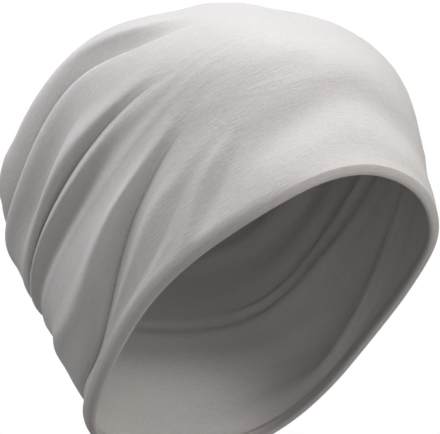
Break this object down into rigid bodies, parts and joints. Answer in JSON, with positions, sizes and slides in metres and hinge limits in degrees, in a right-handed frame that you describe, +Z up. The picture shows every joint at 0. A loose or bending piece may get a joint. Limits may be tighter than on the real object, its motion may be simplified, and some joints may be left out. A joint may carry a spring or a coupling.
{
  "type": "sleep cap",
  "caption": "Slouchy jersey sleep cap with gathered side folds, a soft bag behind the crown and a rolled hem round a slanting head opening.",
  "frame": {"origin": "the point inside the crown that sits on top of the head", "axes": "+Z up, -Y towards the forehead, +Y towards the slouch behind the head, +X towards the wearer's left"},
  "size_m": [0.1675, 0.24, 0.2024],
  "materials": {
    "body_jersey": "fine single jersey, brushed soft, very pale warm grey",
    "hem_jersey": "the same jersey, rolled under at the rim"
  },
  "bodies": {
    "root": {"cap_body": "body_jersey", "turned_hem": "hem_jersey"}
  },
  "joints": []
}
